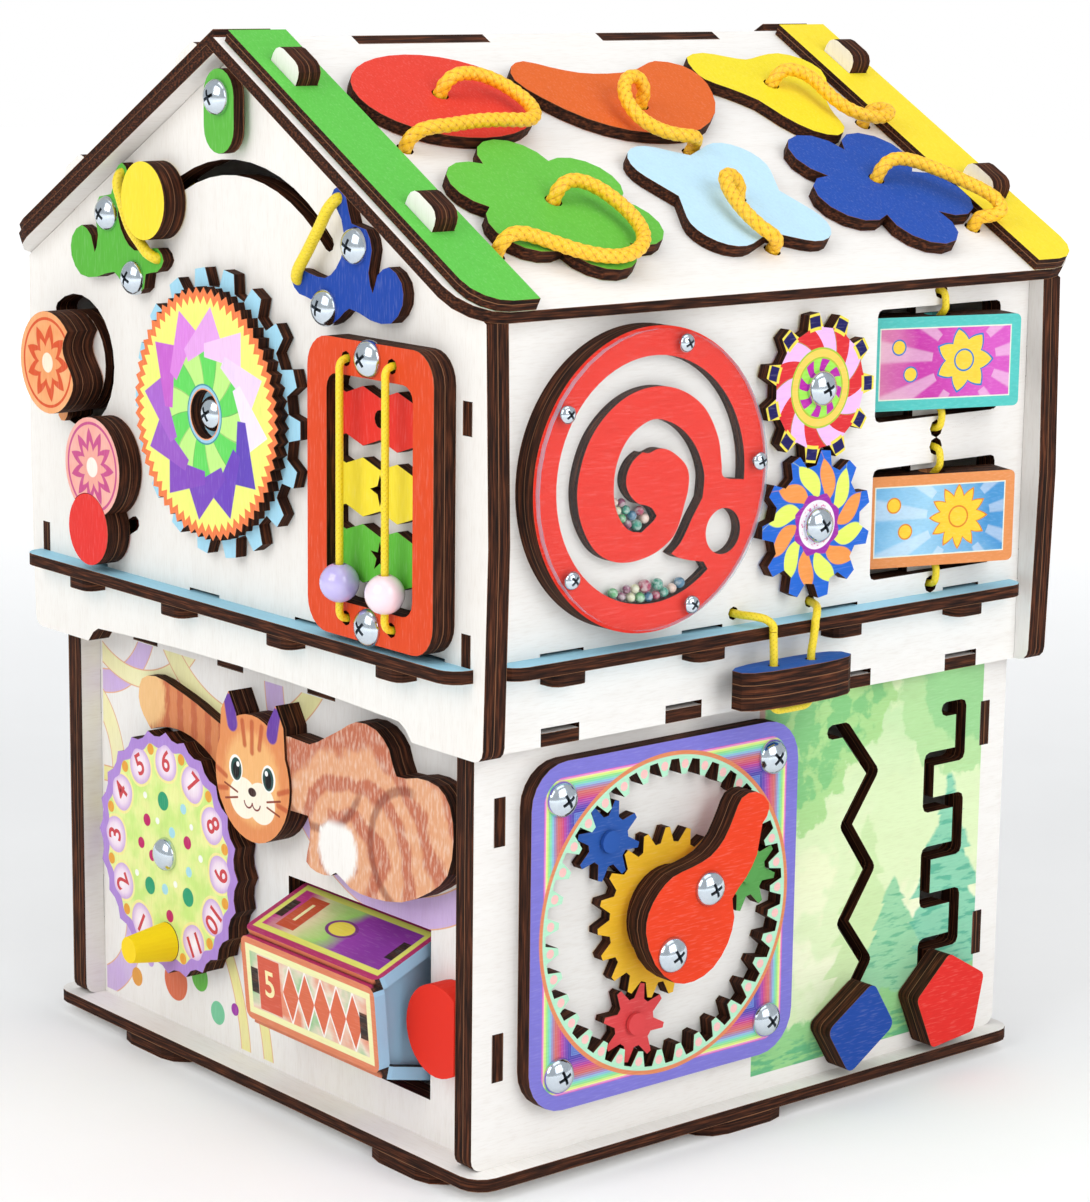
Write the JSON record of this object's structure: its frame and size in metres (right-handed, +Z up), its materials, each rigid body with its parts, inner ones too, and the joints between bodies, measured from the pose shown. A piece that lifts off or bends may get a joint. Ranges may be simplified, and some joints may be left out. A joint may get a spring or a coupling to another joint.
{
  "type": "busy board house",
  "caption": "Toy house whose plywood walls and roof carry gears, a dial, a number drum, sliders, a maze, turning boards and roped shapes",
  "frame": {"origin": "middle of the resting face, under the feet", "axes": "+Z up, gable front towards -Y, geared eave side towards +X"},
  "size_m": [0.2702, 0.2742, 0.3552],
  "materials": {
    "white_board": "painted birch plywood, matt",
    "green_board": "painted plywood, satin",
    "yellow_board": "painted plywood, satin",
    "red_board": "painted plywood, satin",
    "orange_board": "painted plywood, satin",
    "blue_board": "painted plywood, satin",
    "light_blue_board": "painted plywood, satin",
    "lilac_board": "painted plywood, satin",
    "pink_board": "painted plywood, satin",
    "printed_board": "printed plywood, satin",
    "cord": "braided polyester",
    "lilac_pearl": "pearl",
    "pink_pearl": "pearl",
    "clear_pane": "clear acrylic"
  },
  "bodies": {
    "house": {"base_plate": "white_board", "lower_front_wall": "white_board", "lower_back_wall": "white_board", "lower_left_wall": "white_board", "lower_right_wall": "white_board", "mid_floor": "white_board", "front_gable": "white_board", "rear_gable": "white_board", "upper_left_wall": "white_board", "upper_right_wall": "white_board", "right_roof_panel": "white_board", "left_roof_panel": "white_board", "green_roof_strip": "green_board", "yellow_roof_strip": "yellow_board", "front_shelf": "light_blue_board", "right_shelf": "light_blue_board", "green_bumper": "green_board", "blue_bumper": "blue_board", "bead_frame": "orange_board", "bead_cord": "cord", "labyrinth_board": "red_board", "labyrinth_window": "clear_pane", "ring_gear": "lilac_board", "cat": "printed_board", "flip_cord": "cord", "swing_anchor_cord": "cord"},
    "apex_tag": {"apex_tag": "green_board"},
    "yellow_knob": {"yellow_knob": "yellow_board"},
    "orange_face": {"orange_face": "orange_board"},
    "pink_face": {"pink_face": "pink_board"},
    "big_gear": {"big_gear": "yellow_board"},
    "bead_left": {"bead_left": "lilac_pearl"},
    "bead_right": {"bead_right": "pink_pearl"},
    "gear_top": {"gear_top": "yellow_board"},
    "gear_bottom": {"gear_bottom": "blue_board"},
    "flip_board_top": {"flip_board_top": "light_blue_board"},
    "flip_board_bottom": {"flip_board_bottom": "orange_board"},
    "swing": {"swing_block": "blue_board", "swing_loop_cord": "cord"},
    "dial": {"dial": "lilac_board"},
    "drum": {"drum": "pink_board"},
    "crank": {"crank_handle": "orange_board"},
    "carrier": {"planet_carrier": "white_board"},
    "planet_1": {"planet_1": "blue_board"},
    "planet_2": {"planet_2": "green_board"},
    "planet_3": {"planet_3": "red_board"},
    "rhomb_knob": {"rhomb_knob": "blue_board"},
    "pentagon_knob": {"pentagon_knob": "red_board"},
    "oval": {"oval_shape": "red_board", "oval_rope": "cord"},
    "bean": {"bean_shape": "orange_board", "bean_rope": "cord"},
    "knuckle": {"knuckle_shape": "yellow_board", "knuckle_rope": "cord"},
    "cloud": {"cloud_shape": "green_board", "cloud_rope": "cord"},
    "cross": {"cross_shape": "light_blue_board", "cross_rope": "cord"},
    "star": {"star_shape": "blue_board", "star_rope": "cord"}
  },
  "joints": [
    {"name": "tag_swing", "type": "hinge", "parent": "house", "child": "apex_tag", "pos_m": [-0.003, -0.12245, 0.3342], "axis": [0, -1, 0], "range_deg": [-70, 70]},
    {"name": "knob_arc", "type": "hinge", "parent": "house", "child": "yellow_knob", "pos_m": [-0.003, -0.12005, 0.2403], "axis": [0, 1, 0], "range_deg": [0, 21]},
    {"name": "orange_turn", "type": "hinge", "parent": "house", "child": "orange_face", "pos_m": [-0.099, -0.12005, 0.2405], "axis": [0, -1, 0], "range_deg": [-12, 230]},
    {"name": "pink_turn", "type": "hinge", "parent": "house", "child": "pink_face", "pos_m": [-0.0765, -0.12005, 0.207], "axis": [0, -1, 0], "range_deg": [-38, 38]},
    {"name": "big_gear_spin", "type": "hinge", "parent": "house", "child": "big_gear", "pos_m": [-0.009, -0.12045, 0.233], "axis": [0, -1, 0], "continuous": true},
    {"name": "bead_left_slide", "type": "slide", "parent": "house", "child": "bead_left", "axis": [0, 0, 1], "range_m": [0, 0.057]},
    {"name": "bead_right_slide", "type": "slide", "parent": "house", "child": "bead_right", "axis": [0, 0, 1], "range_m": [0, 0.057]},
    {"name": "gear_top_spin", "type": "hinge", "parent": "house", "child": "gear_top", "pos_m": [0.1188, 0.01785, 0.245], "axis": [1, 0, 0], "continuous": true},
    {"name": "gear_bottom_spin", "type": "hinge", "parent": "house", "child": "gear_bottom", "pos_m": [0.1188, 0.01805, 0.2007], "axis": [1, 0, 0], "continuous": true},
    {"name": "flip_top_spin", "type": "hinge", "parent": "house", "child": "flip_board_top", "pos_m": [0.1168, 0.07735, 0.249], "axis": [0, 0, 1], "continuous": true},
    {"name": "flip_bottom_spin", "type": "hinge", "parent": "house", "child": "flip_board_bottom", "pos_m": [0.1168, 0.07735, 0.1965], "axis": [0, 0, 1], "continuous": true},
    {"name": "swing", "type": "hinge", "parent": "house", "child": "swing", "pos_m": [0.1286, 0.00335, 0.168], "axis": [0, -1, 0], "range_deg": [-8, 75]},
    {"name": "dial_spin", "type": "hinge", "parent": "house", "child": "dial", "pos_m": [-0.0555, -0.10635, 0.0735], "axis": [0, -1, 0], "continuous": true},
    {"name": "drum_spin", "type": "hinge", "parent": "house", "child": "drum", "pos_m": [0.0431, -0.10385, 0.05], "axis": [1, 0, 0], "continuous": true},
    {"name": "crank_spin", "type": "hinge", "parent": "house", "child": "crank", "pos_m": [0.1127, -0.03945, 0.0803], "axis": [1, 0, 0], "continuous": true},
    {"name": "carrier_spin", "type": "hinge", "parent": "house", "child": "carrier", "pos_m": [0.1127, -0.03945, 0.0803], "axis": [1, 0, 0], "continuous": true},
    {"name": "planet_1_spin", "type": "hinge", "parent": "carrier", "child": "planet_1", "pos_m": [0.1127, -0.0634, 0.10785], "axis": [1, 0, 0], "continuous": true},
    {"name": "planet_2_spin", "type": "hinge", "parent": "carrier", "child": "planet_2", "pos_m": [0.1127, -0.00362, 0.08726], "axis": [1, 0, 0], "continuous": true},
    {"name": "planet_3_spin", "type": "hinge", "parent": "carrier", "child": "planet_3", "pos_m": [0.1127, -0.05133, 0.04579], "axis": [1, 0, 0], "continuous": true},
    {"name": "rhomb_slide", "type": "slide", "parent": "house", "child": "rhomb_knob", "axis": [0, 0.5647, 0.8253], "range_m": [0, 0.0204]},
    {"name": "pentagon_slide", "type": "slide", "parent": "house", "child": "pentagon_knob", "axis": [0, 0, 1], "range_m": [0, 0.0165]},
    {"name": "oval_lift", "type": "slide", "parent": "house", "child": "oval", "axis": [0.5, 0, 0.866], "range_m": [0, 0.02]},
    {"name": "bean_lift", "type": "slide", "parent": "house", "child": "bean", "axis": [0.5, 0, 0.866], "range_m": [0, 0.02]},
    {"name": "knuckle_lift", "type": "slide", "parent": "house", "child": "knuckle", "axis": [0.5, 0, 0.866], "range_m": [0, 0.02]},
    {"name": "cloud_lift", "type": "slide", "parent": "house", "child": "cloud", "axis": [0.5, 0, 0.866], "range_m": [0, 0.02]},
    {"name": "cross_lift", "type": "slide", "parent": "house", "child": "cross", "axis": [0.5, 0, 0.866], "range_m": [0, 0.02]},
    {"name": "star_lift", "type": "slide", "parent": "house", "child": "star", "axis": [0.5, 0, 0.866], "range_m": [0, 0.02]}
  ],
  "couplings": [
    {"joint": "gear_bottom_spin", "follows": "gear_top_spin", "ratio": -1},
    {"joint": "carrier_spin", "follows": "crank_spin", "ratio": 0.35185},
    {"joint": "planet_1_spin", "follows": "crank_spin", "ratio": -1.5394},
    {"joint": "planet_2_spin", "follows": "crank_spin", "ratio": -1.5394},
    {"joint": "planet_3_spin", "follows": "crank_spin", "ratio": -1.5394}
  ]
}
